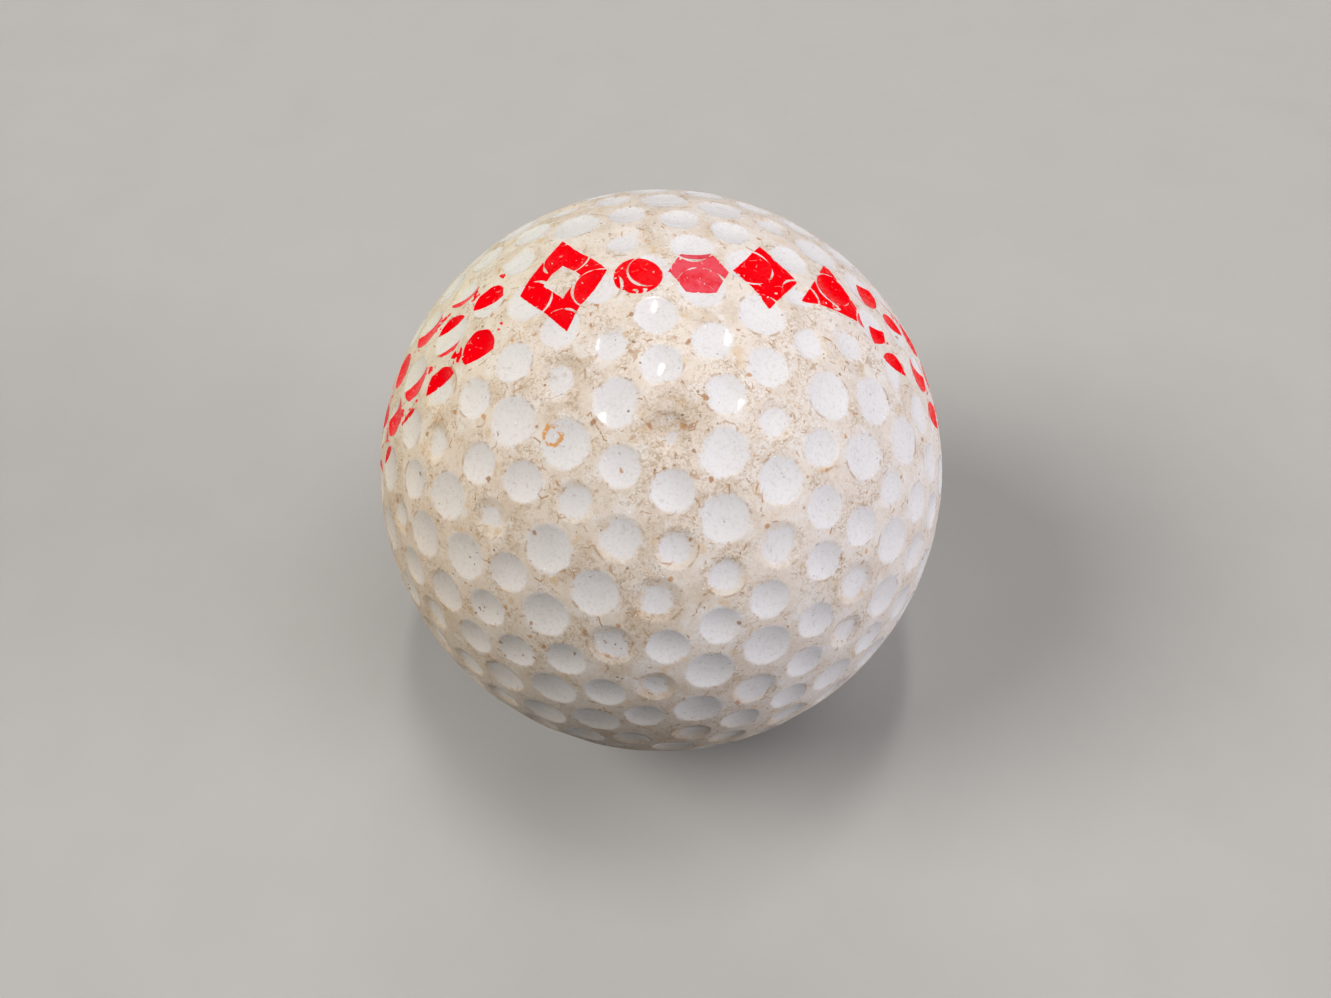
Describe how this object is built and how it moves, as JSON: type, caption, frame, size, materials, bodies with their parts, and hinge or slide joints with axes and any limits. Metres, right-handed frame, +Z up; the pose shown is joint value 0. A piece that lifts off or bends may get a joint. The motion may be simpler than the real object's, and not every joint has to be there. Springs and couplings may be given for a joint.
{
  "type": "golf ball",
  "caption": "Used two-piece practice golf ball: dimpled cover in two half shells over a solid rubber core, with a worn band of plain red marks.",
  "frame": {"origin": "centre of the ball", "axes": "+Z up, through the middle of the printed band; the band lies in the XZ plane and runs along X over the top; -Y is the side that faces the camera"},
  "size_m": [0.0426, 0.0426, 0.0427],
  "materials": {
    "core_rubber": "matte moulded polybutadiene rubber",
    "cover_ionomer": "painted white ionomer, satin, with beige grime on the lands",
    "red_ink": "pad-printed red ink under clear coat, worn",
    "faded_red_ink": "pad-printed red ink under clear coat, faded pink"
  },
  "bodies": {
    "root": {"core": "core_rubber", "cover_front_half": "cover_ionomer", "cover_back_half": "cover_ionomer", "print_stripe_left_near": "red_ink", "print_stripe_left_far": "red_ink", "print_diamond_large": "red_ink", "print_disc": "red_ink", "print_hexagon": "faded_red_ink", "print_diamond_small": "red_ink", "print_triangle": "red_ink", "print_stripe_right_near": "red_ink", "print_stripe_right_far": "red_ink"}
  },
  "joints": []
}
